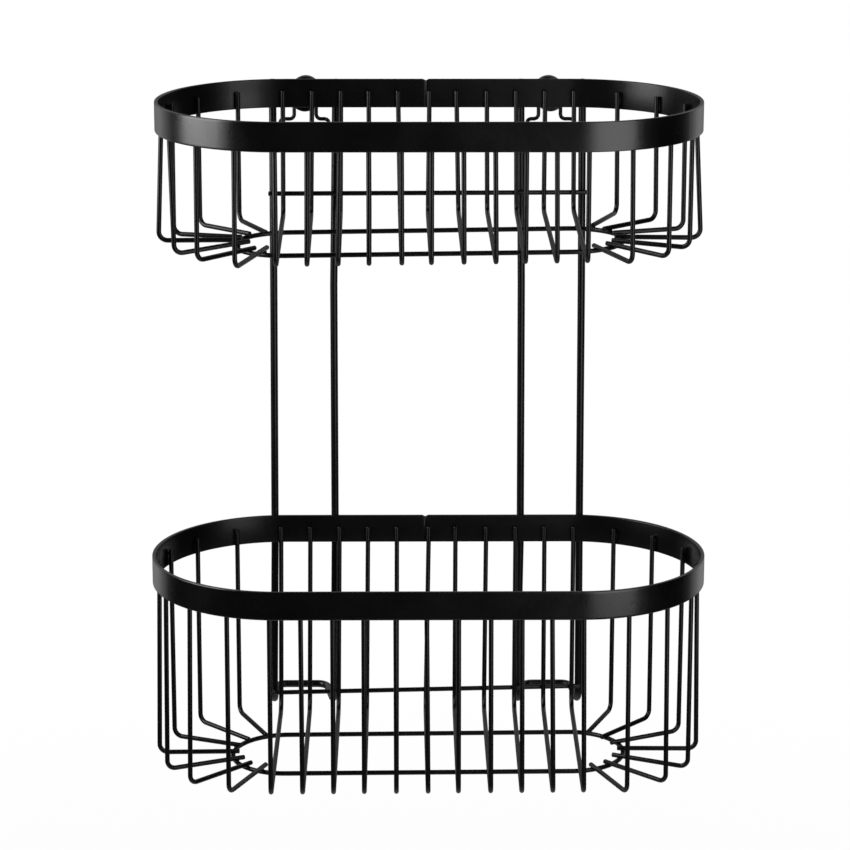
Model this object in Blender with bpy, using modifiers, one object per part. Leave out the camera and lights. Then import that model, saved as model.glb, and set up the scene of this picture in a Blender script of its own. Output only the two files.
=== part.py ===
"""Two-tier wire shower caddy.

Two stadium-shaped baskets, each a flat-bar rim with bent wires welded inside it, hang one
above the other on two hairpin rods. A looped hanger on each hairpin drops over a wall boss.

Metres, +Z up, +X to the right, front towards -Y. The origin is on the wall plane, midway
between the axes of the two wall bosses.
"""

import math

import bmesh
import bpy
from mathutils import Matrix, Vector

# Clearances
WELD_GAP = 0.0003  # left between pieces that are welded or rest on each other
HOOK_CLEARANCE = 0.0003  # round the boss neck, inside the hanger loop
WELD_BITE = 0.0003  # how far a hanger's tail is sunk into its rod

# Stock
BASKET_WIRE = 0.0025
ROD = 0.004
HANGER_WIRE = 0.002
BAND_HEIGHT = 0.015
BAND_THICKNESS = 0.002
BAND_EDGE = 0.0003

# Upper basket
UPPER_WIDTH = 0.277
UPPER_DEPTH = 0.1296
UPPER_FLOOR_DROP = 0.0709
UPPER_RING_INSET = 0.03925  # from the rim's ends in to the floor ring's ends
UPPER_RING_DEPTH_INSET = 0.03765

# Lower basket
LOWER_WIDTH = 0.288
LOWER_DEPTH = 0.1348
LOWER_FLOOR_DROP = 0.1104
LOWER_RING_INSET = 0.04045
LOWER_RING_DEPTH_INSET = 0.0390

# What both baskets share
WIRES_ACROSS = 11
WIRES_ROUND_END = 7
WIRE_SPREAD = 0.0032  # how far the outermost wires across lie beyond the centres of the round ends
WIRE_TOP_DROP = 0.0058  # from the rim's top edge down to the wires' top ends
WIRE_BEND = 0.005
REAR_LEAN = 0.0008  # the rear legs' lean towards the front, from rim to floor
RING_SET_BACK = 0.0020  # the floor ring's centre, behind the rim's
TIP_OVERRUN_REAR = 0.001  # how far the rearmost end wires run on past the floor ring
TIP_OVERRUN_FRONT = 0.0065  # how far the foremost ones do
CROSS_WIRE_RISE = 0.010  # the rear cross wire, above the floor wires

# Seam at the rear centre of each rim
SEAM_OFFSET = -0.001
SEAM_NOTCH_WIDTH = 0.0032
SEAM_NOTCH_DEPTH = 0.0008
SEAM_GROOVE_WIDTH = 0.0007
SEAM_GROOVE_DEPTH = 0.0003

# Hairpin rods and their hangers
WALL_GAP = 0.030  # from the wall to the rims' rear faces
TIER_DROP = 0.238  # from one rim's top edge to the other's
RIM_ABOVE_BOSS = 0.0108  # the upper rim's top edge, above the boss axes
ROD_TOP_DROP = 0.0006  # from the upper rim's top edge down to the rods' ends
HAIRPIN_SPACING = 0.132
HAIRPIN_WIDTH = 0.032
HAIRPIN_FOOT_RISE = 0.0020  # the hairpins' lower bends, above the lower floor wires
HAIRPIN_FOOT_LIFT = 0.0011  # how far each hairpin slopes up from there to the wall
HAIRPIN_BEND = 0.006
HOOK_SET_IN = 0.0015  # from each hairpin's middle to its boss axis, towards the caddy's middle
HANGER_DROP = 0.0128  # from the boss axis down to the hanger's feet
HANGER_BEND = 0.0025
HANGER_WALL_GAP = 0.017
HANGER_TAIL_DROP = 0.006  # from the feet down to where the tails meet the rods
HANGER_TAIL = 0.011

# Wall bosses
BOSS_FLANGE = 0.0156
BOSS_FLANGE_THICKNESS = 0.005
BOSS_NECK = 0.009
BOSS_LENGTH = 0.026
BOSS_CAP = 0.0150
BOSS_CAP_THICKNESS = 0.004
BOSS_EDGE = 0.001
BOSS_BORE = 0.0045
BOSS_RECESS = 0.0092
BOSS_RECESS_DEPTH = 0.0028

# Fineness of the round forms
END_STEPS = 28
BEND_STEPS = 5
HANGER_BEND_STEPS = 3
RING_STEPS = 16
LOOP_STEPS = 10
TURN_STEPS = 24
EDGE_STEPS = 2
TUBE_RESOLUTION = 2
SHARP_EDGE = math.radians(50)  # edges of a welded tube that turn more than this stay sharp
BEVELLED_EDGE = math.radians(60)  # edges of the bar that turn more than this are bevelled
MERGE_DISTANCE = 0.00001
CUT_PAST = 3  # how many thicknesses or heights of the bar a cutter is long


def clear_scene():
    for obj in list(bpy.data.objects):
        bpy.data.objects.remove(obj, do_unlink=True)


def make_collection(name):
    collection = bpy.data.collections.new(name)
    bpy.context.scene.collection.children.link(collection)
    return collection


def make_material(name, colour, roughness, metallic):
    material = bpy.data.materials.new(name)
    material.use_nodes = True
    shader = material.node_tree.nodes["Principled BSDF"]
    shader.inputs["Base Color"].default_value = (*colour, 1.0)
    shader.inputs["Roughness"].default_value = roughness
    shader.inputs["Metallic"].default_value = metallic
    return material


def make_empty(name, location, collection, parent=None):
    empty = bpy.data.objects.new(name, None)
    empty.location = location
    empty.parent = parent
    collection.objects.link(empty)
    return empty


def add_object(name, data, collection, parent, material):
    obj = bpy.data.objects.new(name, data)
    obj.parent = parent
    data.materials.append(material)
    collection.objects.link(obj)
    return obj


def rounded_path(corners, radius, steps=BEND_STEPS):
    """Points along straight runs through the corners, with each inner corner bent to the radius."""
    points = [Vector(corners[0])]
    for before, corner, after in zip(corners, corners[1:], corners[2:]):
        corner = Vector(corner)
        back = (Vector(before) - corner).normalized()
        ahead = (Vector(after) - corner).normalized()
        half = back.angle(ahead) / 2
        centre = corner + (back + ahead).normalized() * (radius / math.sin(half))
        start = corner + back * (radius / math.tan(half))
        normal = back.cross(ahead).normalized()
        turn = -(math.pi - 2 * half)
        for step in range(steps + 1):
            turned = Matrix.Rotation(turn * step / steps, 3, normal) @ (start - centre)
            points.append(centre + turned)
    points.append(Vector(corners[-1]))
    return points


def stadium_points(width, depth, steps):
    """A stadium outline in the XY plane, anticlockwise, with steps edges round each end."""
    radius = depth / 2
    reach = width / 2 - radius
    points = []
    for side in (1, -1):
        for step in range(steps + 1):
            angle = math.pi * step / steps - math.pi / 2
            across = reach + radius * math.cos(angle)
            points.append(Vector((side * across, side * radius * math.sin(angle), 0)))
    return points


def make_tube(name, points, diameter, collection, parent, material, closed=False):
    curve = bpy.data.curves.new(name, "CURVE")
    curve.dimensions = "3D"
    curve.bevel_depth = diameter / 2
    curve.bevel_resolution = TUBE_RESOLUTION
    curve.use_fill_caps = True
    spline = curve.splines.new("POLY")
    spline.points.add(len(points) - 1)
    for target, point in zip(spline.points, points):
        target.co = (*point, 1.0)
    spline.use_cyclic_u = closed
    spline.use_smooth = True
    return add_object(name, curve, collection, parent, material)


def tube_to_mesh(tube, collection):
    """The tube as a welded mesh object under the same name and parent."""
    depsgraph = bpy.context.evaluated_depsgraph_get()
    mesh = bpy.data.meshes.new_from_object(tube.evaluated_get(depsgraph))
    shape = bmesh.new()
    shape.from_mesh(mesh)
    bmesh.ops.remove_doubles(shape, verts=shape.verts, dist=MERGE_DISTANCE)
    shape.to_mesh(mesh)
    shape.free()
    mesh.shade_smooth()
    mesh.set_sharp_from_angle(angle=SHARP_EDGE)
    name = tube.name
    parent = tube.parent
    place = tube.matrix_world.copy()
    bpy.data.objects.remove(tube, do_unlink=True)
    obj = bpy.data.objects.new(name, mesh)
    obj.parent = parent
    obj.matrix_world = place
    collection.objects.link(obj)
    return obj


def add_boolean(obj, other, operation):
    modifier = obj.modifiers.new(other.name, "BOOLEAN")
    modifier.operation = operation
    modifier.object = other
    other.hide_render = True
    other.display_type = "WIRE"


def make_diamond_prism(name, half_sizes, length, axis, location, collection, parent):
    """A four-sided prism along an axis, whose corners lie at the half sizes, used as a cutter."""
    mesh = bpy.data.meshes.new(name)
    shape = bmesh.new()
    bmesh.ops.create_cone(shape, segments=4, radius1=1.0, radius2=1.0, depth=1.0, cap_ends=True)
    first = next(iter(shape.verts)).co
    to_axis = -math.atan2(first.y, first.x)
    bmesh.ops.rotate(shape, verts=shape.verts, matrix=Matrix.Rotation(to_axis, 3, "Z"))
    bmesh.ops.scale(shape, verts=shape.verts, vec=(half_sizes[0], half_sizes[1], length))
    if axis == "Y":
        bmesh.ops.rotate(shape, verts=shape.verts, matrix=Matrix.Rotation(math.pi / 2, 3, "X"))
    shape.to_mesh(mesh)
    shape.free()
    cutter = bpy.data.objects.new(name, mesh)
    cutter.parent = parent
    cutter.location = location
    collection.objects.link(cutter)
    return cutter


class Basket:
    """One tier's sizes. Its own frame has its origin at the centre of the rim's top edge."""

    def __init__(self, name, width, depth, floor_drop, ring_inset, ring_depth_inset):
        self.name = name
        self.width = width
        self.depth = depth
        self.floor = -floor_drop
        self.ring_width = width - 2 * ring_inset
        self.ring_depth = depth - 2 * ring_depth_inset
        self.wire_top = -WIRE_TOP_DROP
        self.end_centre = (width - depth) / 2
        self.leg_inset = BAND_THICKNESS + WELD_GAP + BASKET_WIRE / 2
        self.leg_radius = depth / 2 - self.leg_inset
        self.pitch = 2 * (self.end_centre + WIRE_SPREAD) / (WIRES_ACROSS - 1)
        self.cross_wire_height = self.floor + CROSS_WIRE_RISE
        self.ring_end_centre = (self.ring_width - self.ring_depth) / 2

    def leg_reach(self, x):
        """How far in front of and behind the centre the legs at x stand, inside the bar."""
        beyond = max(0.0, abs(x) - self.end_centre)
        return math.sqrt(self.leg_radius**2 - beyond**2)


def make_rim(basket, parts, cutters, parent, material):
    """The flat bar bent on edge into a stadium, butted at the rear centre."""
    mesh = bpy.data.meshes.new(f"{basket.name}_rim")
    outline = stadium_points(basket.width, basket.depth, END_STEPS)
    shape = bmesh.new()
    top = [shape.verts.new(point) for point in outline]
    bottom = [shape.verts.new(point - Vector((0, 0, BAND_HEIGHT))) for point in outline]
    for index in range(len(outline)):
        after = (index + 1) % len(outline)
        shape.faces.new((bottom[index], bottom[after], top[after], top[index]))
    shape.to_mesh(mesh)
    shape.free()
    mesh.shade_smooth()
    rim = add_object(f"{basket.name}_rim", mesh, parts, parent, material)
    wall = rim.modifiers.new("Band", "SOLIDIFY")
    wall.thickness = BAND_THICKNESS
    wall.offset = -1.0
    edge = rim.modifiers.new("Edges", "BEVEL")
    edge.width = BAND_EDGE
    edge.segments = 1
    edge.limit_method = "ANGLE"
    edge.angle_limit = BEVELLED_EDGE
    rear = basket.depth / 2
    through = CUT_PAST * BAND_THICKNESS
    full_height = CUT_PAST * BAND_HEIGHT
    notch_place = (SEAM_OFFSET, rear - BAND_THICKNESS / 2, 0)
    notch_half = (SEAM_NOTCH_WIDTH / 2, SEAM_NOTCH_DEPTH)
    notch = make_diamond_prism(
        f"{basket.name}_seam_notch", notch_half, through, "Y", notch_place, cutters, parent
    )
    add_boolean(rim, notch, "DIFFERENCE")
    groove_half = (SEAM_GROOVE_WIDTH / 2, SEAM_GROOVE_DEPTH)
    for side, face in (("outer", rear), ("inner", rear - BAND_THICKNESS)):
        place = (SEAM_OFFSET, face, -BAND_HEIGHT / 2)
        groove = make_diamond_prism(
            f"{basket.name}_seam_{side}", groove_half, full_height, "Z", place, cutters, parent
        )
        add_boolean(rim, groove, "DIFFERENCE")
    return rim


def make_wires_across(basket, parts, parent, material):
    """The U-shaped wires: up the rear wall, along the floor and up the front wall."""
    for number in range(WIRES_ACROSS):
        x = (number - (WIRES_ACROSS - 1) / 2) * basket.pitch
        reach = basket.leg_reach(x)
        corners = [
            (x, reach, basket.wire_top),
            (x, reach - REAR_LEAN, basket.floor),
            (x, -reach, basket.floor),
            (x, -reach, basket.wire_top),
        ]
        name = f"{basket.name}_u_wire_{number + 1:02d}"
        make_tube(name, rounded_path(corners, WIRE_BEND), BASKET_WIRE, parts, parent, material)


def tip_radius(basket, outward, along, overrun):
    """How far from the end's centre a wire's tip lies: at the floor ring, and on by the overrun."""
    centre = Vector((basket.ring_end_centre - basket.end_centre, RING_SET_BACK))
    ray = Vector((outward, along))
    towards = ray.dot(centre)
    crossing = towards + math.sqrt(towards**2 - centre.length_squared + (basket.ring_depth / 2) ** 2)
    return crossing - overrun


def make_end_wires(basket, parts, parent, material):
    """The L-shaped wires round each end: down the wall, then in along the floor to the ring."""
    spread = math.pi / (WIRES_ROUND_END + 1)
    for side, side_name in ((-1, "left"), (1, "right")):
        for number in range(WIRES_ROUND_END):
            angle = math.pi / 2 - spread * (number + 1)
            outward = math.cos(angle)
            along = math.sin(angle)
            forward = number / (WIRES_ROUND_END - 1)
            overrun = TIP_OVERRUN_REAR + (TIP_OVERRUN_FRONT - TIP_OVERRUN_REAR) * forward
            outer = basket.leg_radius
            inner = tip_radius(basket, outward, along, overrun)
            wall_x = side * (basket.end_centre + outer * outward)
            tip_x = side * (basket.end_centre + inner * outward)
            corners = [
                (wall_x, outer * along, basket.wire_top),
                (wall_x, outer * along, basket.floor),
                (tip_x, inner * along, basket.floor),
            ]
            name = f"{basket.name}_end_wire_{side_name}_{number + 1}"
            make_tube(name, rounded_path(corners, WIRE_BEND), BASKET_WIRE, parts, parent, material)


def make_floor_ring(basket, parts, parent, material):
    """The closed wire under the floor, which ties all the floor wires together."""
    height = basket.floor - BASKET_WIRE - WELD_GAP
    shift = Vector((0, RING_SET_BACK, height))
    outline = stadium_points(basket.ring_width, basket.ring_depth, RING_STEPS)
    points = [point + shift for point in outline]
    make_tube(f"{basket.name}_floor_ring", points, BASKET_WIRE, parts, parent, material, closed=True)


def make_cross_wire(basket, rod_front, parts, parent, material):
    """The straight wire across the back of the basket, in front of the four rods."""
    reach = HAIRPIN_SPACING / 2 + HAIRPIN_WIDTH / 2 + ROD / 2
    y = rod_front - WELD_GAP - BASKET_WIRE / 2
    points = [Vector((side * reach, y, basket.cross_wire_height)) for side in (-1, 1)]
    make_tube(f"{basket.name}_cross_wire", points, BASKET_WIRE, parts, parent, material)


def make_basket(basket, rim_top, caddy, parts, cutters, materials):
    centre_y = -WALL_GAP - basket.depth / 2
    frame = make_empty(f"{basket.name}_basket", (0, centre_y, rim_top), parts, caddy)
    make_rim(basket, parts, cutters, frame, materials["band"])
    make_wires_across(basket, parts, frame, materials["wire"])
    make_end_wires(basket, parts, frame, materials["wire"])
    make_floor_ring(basket, parts, frame, materials["wire"])
    rod_front = basket.depth / 2 + WELD_GAP
    make_cross_wire(basket, rod_front, parts, frame, materials["wire"])


def hairpin_path(foot):
    """Down one rod, back to the wall, across the foot, forward and up the other rod."""
    front = -WALL_GAP + WELD_GAP + ROD / 2
    back = -ROD / 2
    top = RIM_ABOVE_BOSS - ROD_TOP_DROP
    half = HAIRPIN_WIDTH / 2
    at_wall = foot + HAIRPIN_FOOT_LIFT
    corners = [
        (-half, front, top),
        (-half, front, foot),
        (-half, back, at_wall),
        (half, back, at_wall),
        (half, front, foot),
        (half, front, top),
    ]
    return rounded_path(corners, HAIRPIN_BEND)


def hanger_leg(side, hook_x):
    """Up one tail, in along the foot and up beside the boss neck. The hook's middle is at hook_x."""
    loop = BOSS_NECK / 2 + HOOK_CLEARANCE + HANGER_WIRE / 2
    rod_y = -WALL_GAP + WELD_GAP + ROD / 2
    tail_x = HAIRPIN_WIDTH / 2 - ROD / 2 - HANGER_WIRE / 2 + WELD_BITE
    hook_y = -HANGER_WALL_GAP
    foot = -HANGER_DROP
    shoulder = tail_x - HANGER_BEND / 2
    tail_top = foot - HANGER_TAIL_DROP
    corners = [
        (side * tail_x, rod_y, tail_top - HANGER_TAIL),
        (side * tail_x, rod_y, tail_top),
        (side * shoulder, hook_y, foot),
        (hook_x + side * loop, hook_y, foot),
        (hook_x + side * loop, hook_y, 0),
    ]
    return rounded_path(corners, HANGER_BEND, HANGER_BEND_STEPS)


def hanger_path(hook_x):
    """Both legs, joined over the boss neck."""
    loop = BOSS_NECK / 2 + HOOK_CLEARANCE + HANGER_WIRE / 2
    arc = []
    for step in range(1, LOOP_STEPS):
        angle = math.pi * step / LOOP_STEPS
        arc.append(Vector((hook_x + loop * math.cos(angle), -HANGER_WALL_GAP, loop * math.sin(angle))))
    return hanger_leg(1, hook_x) + arc + list(reversed(hanger_leg(-1, hook_x)))


def make_hairpins(foot, caddy, parts, cutters, material):
    """Each hairpin with the hanger that is welded to the inner sides of its rods."""
    for side, side_name in ((-1, "left"), (1, "right")):
        frame = make_empty(f"hairpin_{side_name}_frame", (side * HAIRPIN_SPACING / 2, 0, 0), parts, caddy)
        bpy.context.view_layer.update()
        name = f"hairpin_{side_name}"
        rods = make_tube(name, hairpin_path(foot), ROD, parts, frame, material)
        path = hanger_path(-side * HOOK_SET_IN)
        hanger = make_tube(f"hanger_{side_name}", path, HANGER_WIRE, parts, frame, material)
        bpy.context.view_layer.update()
        hairpin = tube_to_mesh(rods, parts)
        loop = tube_to_mesh(hanger, cutters)
        hairpin.name = name
        add_boolean(hairpin, loop, "UNION")


def boss_profile():
    """Radius and distance from the wall, from the front face's recess round the outside to the bore."""
    cap = BOSS_CAP / 2
    flange = BOSS_FLANGE / 2
    length = BOSS_LENGTH
    points = [(BOSS_RECESS / 2, length)]
    for step in range(EDGE_STEPS + 1):
        angle = math.pi / 2 * (1 - step / EDGE_STEPS)
        edge = BOSS_EDGE
        points.append((cap - edge + edge * math.cos(angle), length - edge + edge * math.sin(angle)))
    points.append((cap, length - BOSS_CAP_THICKNESS))
    points.append((BOSS_NECK / 2, length - BOSS_CAP_THICKNESS))
    points.append((BOSS_NECK / 2, BOSS_FLANGE_THICKNESS))
    for step in range(EDGE_STEPS + 1):
        angle = math.pi / 2 * (1 - step / EDGE_STEPS)
        edge = BOSS_EDGE
        reach = flange - edge + edge * math.cos(angle)
        points.append((reach, BOSS_FLANGE_THICKNESS - edge + edge * math.sin(angle)))
    points.append((flange, 0))
    points.append((BOSS_BORE / 2, 0))
    points.append((BOSS_BORE / 2, length - BOSS_RECESS_DEPTH))
    points.append((BOSS_RECESS / 2, length - BOSS_RECESS_DEPTH))
    return points


def make_boss(name, x, parts, parent, material):
    """A turned spool on the wall, bored through for its fixing screw."""
    mesh = bpy.data.meshes.new(name)
    shape = bmesh.new()
    verts = [shape.verts.new((radius, 0, height)) for radius, height in boss_profile()]
    for index, vert in enumerate(verts):
        shape.edges.new((vert, verts[(index + 1) % len(verts)]))
    shape.to_mesh(mesh)
    shape.free()
    boss = add_object(name, mesh, parts, parent, material)
    boss.location = (x, 0, 0)
    boss.rotation_euler = (math.pi / 2, 0, 0)
    turn = boss.modifiers.new("Turn", "SCREW")
    turn.axis = "Z"
    turn.angle = 2 * math.pi
    turn.steps = TURN_STEPS
    turn.render_steps = TURN_STEPS
    turn.use_merge_vertices = True
    turn.merge_threshold = MERGE_DISTANCE
    turn.use_smooth_shade = True
    return boss


def main():
    clear_scene()
    parts = make_collection("shower_caddy")
    cutters = make_collection("cutters")
    materials = {
        "band": make_material("coated_band", (0.012, 0.012, 0.013), 0.42, 0.0),
        "wire": make_material("coated_wire", (0.010, 0.010, 0.011), 0.40, 0.0),
        "rod": make_material("coated_rod", (0.011, 0.011, 0.012), 0.40, 0.0),
        "boss": make_material("coated_boss", (0.014, 0.014, 0.015), 0.38, 0.0),
    }
    wall_side = make_empty("wall_side", (0, 0, 0), parts)
    caddy = make_empty("caddy", (0, 0, 0), parts)
    upper_sizes = (UPPER_WIDTH, UPPER_DEPTH, UPPER_FLOOR_DROP, UPPER_RING_INSET, UPPER_RING_DEPTH_INSET)
    lower_sizes = (LOWER_WIDTH, LOWER_DEPTH, LOWER_FLOOR_DROP, LOWER_RING_INSET, LOWER_RING_DEPTH_INSET)
    upper = Basket("upper", *upper_sizes)
    lower = Basket("lower", *lower_sizes)
    lower_rim_top = RIM_ABOVE_BOSS - TIER_DROP
    make_basket(upper, RIM_ABOVE_BOSS, caddy, parts, cutters, materials)
    make_basket(lower, lower_rim_top, caddy, parts, cutters, materials)
    foot = lower_rim_top + lower.floor + HAIRPIN_FOOT_RISE
    make_hairpins(foot, caddy, parts, cutters, materials["rod"])
    for side, side_name in ((-1, "left"), (1, "right")):
        x = side * (HAIRPIN_SPACING / 2 - HOOK_SET_IN)
        make_boss(f"wall_boss_{side_name}", x, parts, wall_side, materials["boss"])


main()
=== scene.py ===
"""The looks of the two-tier wire shower caddy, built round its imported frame."""

import math
import random

import bpy
from mathutils import Matrix, Vector


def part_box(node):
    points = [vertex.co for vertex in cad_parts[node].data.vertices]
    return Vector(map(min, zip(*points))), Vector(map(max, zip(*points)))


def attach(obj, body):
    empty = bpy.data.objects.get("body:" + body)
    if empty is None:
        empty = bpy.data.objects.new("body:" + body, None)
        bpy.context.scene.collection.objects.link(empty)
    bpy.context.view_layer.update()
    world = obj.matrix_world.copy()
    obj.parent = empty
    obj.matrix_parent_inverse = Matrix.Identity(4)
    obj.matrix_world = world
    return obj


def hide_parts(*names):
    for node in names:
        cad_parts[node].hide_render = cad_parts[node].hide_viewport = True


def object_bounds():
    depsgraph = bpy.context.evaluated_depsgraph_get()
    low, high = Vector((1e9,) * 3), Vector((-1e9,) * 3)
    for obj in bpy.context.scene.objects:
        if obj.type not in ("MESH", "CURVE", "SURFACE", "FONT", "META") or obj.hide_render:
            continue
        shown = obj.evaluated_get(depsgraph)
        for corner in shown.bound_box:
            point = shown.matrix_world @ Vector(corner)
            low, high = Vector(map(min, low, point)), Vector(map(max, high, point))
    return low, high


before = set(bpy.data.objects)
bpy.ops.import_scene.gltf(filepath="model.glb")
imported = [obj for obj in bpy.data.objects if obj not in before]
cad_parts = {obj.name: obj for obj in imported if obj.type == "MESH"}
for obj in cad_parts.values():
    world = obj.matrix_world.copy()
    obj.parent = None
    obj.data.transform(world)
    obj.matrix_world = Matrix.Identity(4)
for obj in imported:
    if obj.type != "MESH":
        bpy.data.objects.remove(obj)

cad_box = [list(corner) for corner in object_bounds()]

# Lengths are in metres, except where a comment says millimetres
MILLIMETRES = 1000
SIDE_NAMES = {-1: "left", 1: "right"}
RIGHT = Vector((1, 0, 0))
BACK = Vector((0, 1, 0))
UP = Vector((0, 0, 1))

# Stock and clearances, as in the solids
BASKET_WIRE = 0.0025
ROD = 0.004
HANGER_WIRE = 0.002
BAND_THICKNESS = 0.002
WELD_GAP = 0.0003
WIRES_ACROSS = 11
WIRES_ROUND_END = 7
WIRE_SPREAD = 0.0032
WIRE_BEND = 0.005
REAR_BEND = {"upper": 0.005, "lower": 0.008}
KNEE_BEND = 0.0045
REAR_LEAN = 0.0008
HAIRPIN_BEND = 0.006
HAIRPIN_FOOT_LIFT = 0.0011
HAIRPIN_SPACING = 0.132
HAIRPIN_WIDTH = 0.032
HANGER_DROP = 0.0128
HANGER_BEND = 0.0025
HANGER_WALL_GAP = 0.017
HANGER_TAIL_DROP = 0.006
HANGER_TAIL = 0.0098
HOOK_CLEARANCE = 0.0003
WELD_BITE = 0.0003

# Wall bosses, each its offset away from the middle, and their screws, turned a hair off the axis
BOSS_OFFSET = 0.0645
BOSS_FLANGE = 0.0156
BOSS_FLANGE_THICKNESS = 0.005
BOSS_NECK = 0.009
BOSS_LENGTH = 0.026
BOSS_CAP = 0.015
BOSS_CAP_THICKNESS = 0.004
BOSS_EDGE = 0.0009
BOSS_SMALL_EDGE = 0.0003
BOSS_BORE = 0.0045
BOSS_RECESS = 0.0092
BOSS_RECESS_DEPTH = 0.0028
SCREW_HEAD = 0.0082
SCREW_HEAD_HEIGHT = 0.0022
SCREW_DOME = 0.0012
SCREW_SHANK = 0.0038
SCREW_GAP = 0.0001
SCREW_FROM_WALL = 0.0005
SCREW_AXIS = 0.0001
# The cross recess: its turn, then each blade's depth under the crown and half lengths and widths
RECESS_TURN = 0.35
RECESS_BLADE = ((0.0014, 0.0007, 0.0003), (-0.0006, 0.0023, 0.0005))

# Middle line of a hanger's loop over the boss neck
HOOK_RADIUS = BOSS_NECK / 2 + HOOK_CLEARANCE + HANGER_WIRE / 2

# Seam of each rim, a little to the left of its rear middle
SEAM_TRAVEL = 0.001
SEAM_NOTCH_WIDTH = 0.0032
SEAM_NOTCH_DEPTH = 0.0008
SEAM_GROOVE_WIDTH = 0.0009
SEAM_GROOVE_DEPTH = 0.00022

# Faint dents outside the rims, where wires are welded inside, with heights as shares of the bar's
DENT_HEIGHTS = (0.25, 0.75)
DENT_DEPTHS = (0.0, 0.00003, 0.00005, 0.00008)
DENT_RADIUS = 0.00045
DENT_REACH = 0.0015

# Weld nuggets, as half lengths. Those on the rims are placed and sized by shares of the overlap
# between wire and bar, and the fillets beside the rods by shares of the bar's height.
RIM_WELD_DOWN = 0.52
RIM_WELD_PLAY = 0.0004
RIM_WELD_HEIGHT = 0.4
RIM_WELD_WIDTHS = (0.00125, 0.0015)
RIM_WELD_DEPTH = 0.00062
RIM_WELD_SET_IN = 0.0003
CROSSING_WELD_WIDTHS = (0.00105, 0.0013)
CROSSING_WELD_DEPTH = 0.0007
CROSS_WIRE_WELD = (0.001, 0.0006)
CROSS_WIRE_ROD_WELD = (0.0012, 0.0007)
FILLET_OFFSET = 0.00125
FILLET_SET_BACK = 0.00035
FILLET_PLAY = 0.0006
FILLET_HEIGHTS = (0.34, 0.42)
FILLET_WIDTH = 0.00085
FILLET_DEPTH = 0.00065
TAIL_WELD_DOWN = 0.55
TAIL_WELD_SET_IN = 0.00035
TAIL_WELD_OFFSET = 0.0008
TAIL_WELD = (0.0006, 0.0005, 0.004)

# Hand-made differences, in millimetres. For each end wire, from the rear: how far it stands
# towards the front, how far its knee leans outward and hangs down, how far it sinks where it
# crosses the floor ring, how far it runs past the ring, and how far the crossing lies to the rear.
END_WIRE_SHIFTS = {
    ("upper", -1): (
        (2.0, 0.0, 2.4, 3.0, 0.3, 1.5), (2.6, 0.0, 1.8, 1.8, 2.2, 0.6),
        (2.1, 0.2, 2.6, 1.6, 2.8, 0.0), (0.2, 2.7, 1.4, 1.2, 3.7, 0.0),
        (1.1, -1.8, 3.4, 0.8, 6.2, 0.0), (2.4, 0.4, 2.0, 2.0, 3.8, 0.0),
        (1.2, 0.8, 3.0, 0.8, 3.0, 0.0),
    ),
    ("upper", 1): (
        (1.8, 1.8, -1.2, -0.9, 1.0, 0.0), (1.6, 1.1, -0.7, -1.0, 5.0, 0.0),
        (2.6, 0.2, -0.2, -0.6, 4.2, 0.0), (0.2, 3.6, 0.2, -0.2, 4.6, 0.0),
        (-2.9, -0.2, 1.0, 0.2, 4.7, 0.0), (-2.7, 0.1, 1.3, 0.1, 3.2, 0.0),
        (-2.2, 1.5, 1.0, 0.0, 3.0, 0.0),
    ),
    ("lower", -1): (
        (1.6, 0.0, -0.9, 1.6, 0.5, 1.7), (1.8, 0.2, -0.8, 1.2, 1.0, 1.5),
        (1.0, -0.1, 0.0, 0.3, 3.3, 0.0), (0.3, 1.9, 0.5, 0.2, 3.5, 0.0),
        (0.0, 1.2, 0.5, 0.3, 4.2, 0.0), (-0.5, 2.0, 0.5, 0.3, 3.0, 0.0),
        (-1.9, 0.5, 0.5, 0.2, 4.9, 0.0),
    ),
    ("lower", 1): (
        (-0.3, 0.0, -1.5, 0.3, 0.8, 1.2), (-1.6, 0.3, -1.5, -0.2, 4.0, 0.8),
        (-0.9, -0.2, -1.5, -0.7, 5.1, 0.0), (0.2, 1.8, -0.8, -1.0, 3.2, 0.0),
        (0.0, 0.2, 0.3, -0.5, 4.1, 0.0), (0.4, 1.4, 0.2, 0.2, 3.3, 0.0),
        (0.0, 1.2, 0.5, 0.2, 3.9, 0.0),
    ),
}
# For each wire across, from the left: how far its front top, front knee, rear top and rear knee
# stand to the right of an even spacing
LEG_SHIFTS = {
    "upper": (
        (0.8, 0.9, 1.2, 0.85), (1.3, 0.8, 1.1, 0.15), (2.0, 0.8, 0.8, 0.25), (0.6, 0.6, -0.1, 0.05),
        (1.2, 1.4, -0.15, 0.9), (0.6, 0.6, 0.9, 0.2), (0.8, 1.3, -0.4, 0.85), (0.9, 1.7, 0.1, 0.65),
        (0.8, 0.8, 0.05, 0.7), (0.2, 1.0, -0.15, -0.3), (0.6, 0.7, -0.5, 0.0),
    ),
    "lower": (
        (-1.3, -1.5, 0.85, -0.1), (-1.5, -1.25, 0.7, -0.35), (-1.3, -1.35, 0.5, -0.55),
        (-1.5, -1.5, -0.05, -1.0), (-1.3, -1.0, -0.4, -0.6), (-1.6, -0.7, 0.95, -0.65),
        (-1.35, -1.1, -0.6, -0.75), (-1.0, -0.5, 0.05, -0.6), (-1.25, -0.5, 0.0, 0.0),
        (-2.1, -0.5, -0.3, 0.0), (-2.0, -0.7, -0.6, -0.5),
    ),
}
# How far the floor's corners lie above a level one: rear left and right, front left and right
FLOOR_TILT = {"upper": (-0.6, 1.6, -1.5, 0.3), "lower": (0.3, 1.8, 0.1, 0.8)}
# How far each cross wire's left and right ends lie above a level one
CROSS_WIRE_SLANT = {"upper": (0.0, 0.6), "lower": (-1.3, 2.2)}
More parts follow.
